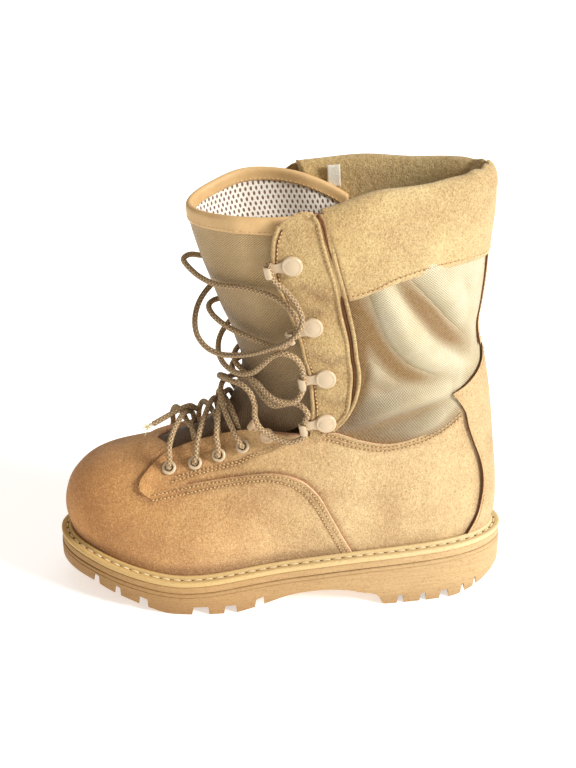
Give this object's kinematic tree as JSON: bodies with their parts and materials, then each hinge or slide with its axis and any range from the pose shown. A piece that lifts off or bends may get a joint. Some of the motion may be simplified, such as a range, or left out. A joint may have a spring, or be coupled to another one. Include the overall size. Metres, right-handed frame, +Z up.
{
  "type": "combat boot",
  "caption": "Tall lace-up field boot with rough suede vamp and padded collar, nylon shaft, bellows tongue, speed hooks and a lugged welted sole.",
  "frame": {"origin": "on the floor under the middle of the sole's length and width", "axes": "+X from toe to heel, +Y towards the inner side of the foot, +Z up"},
  "size_m": [0.31, 0.1152, 0.3053],
  "materials": {
    "rubber": "matt tan rubber, lugged",
    "midsole": "matt tan rubber with thin ply lines",
    "welt": "smooth yellow-tan welt with stitching",
    "insole": "brown felt-like insole",
    "suede": "rough-out suede, napped and speckled",
    "collar": "padded rough-out suede",
    "nylon": "coarse woven nylon with a sheen",
    "mesh": "white spacer mesh with long holes",
    "binding": "smooth leather binding",
    "metal": "cream-painted steel",
    "lace": "round braided lace, tan with cream flecks",
    "thread": "waxed stitching thread"
  },
  "bodies": {
    "root": {"outsole": "rubber", "midsole": "midsole", "welt": "welt", "insole": "insole", "upper": "suede", "backstay": "suede", "backstrip": "suede", "collar": "collar", "tongue": "nylon", "facing_lateral": "suede", "eyelet_lateral_1": "metal", "eyelet_lateral_2": "metal", "eyelet_lateral_3": "metal", "eyelet_lateral_4": "metal", "hook_lateral_1": "metal", "hook_lateral_2": "metal", "hook_lateral_3": "metal", "hook_lateral_4": "metal", "hook_lateral_5": "metal", "facing_medial": "suede", "eyelet_medial_1": "metal", "eyelet_medial_2": "metal", "eyelet_medial_3": "metal", "eyelet_medial_4": "metal", "hook_medial_1": "metal", "hook_medial_2": "metal", "hook_medial_3": "metal", "hook_medial_4": "metal", "hook_medial_5": "metal", "lace_crossing_1": "lace", "lace_crossing_2": "lace", "lace_a1": "lace", "lace_a2": "lace", "lace_a3": "lace", "lace_a4": "lace", "lace_b1": "lace", "lace_b2": "lace", "lace_b3": "lace", "lace_b4": "lace", "lace_end": "lace"}
  },
  "joints": []
}
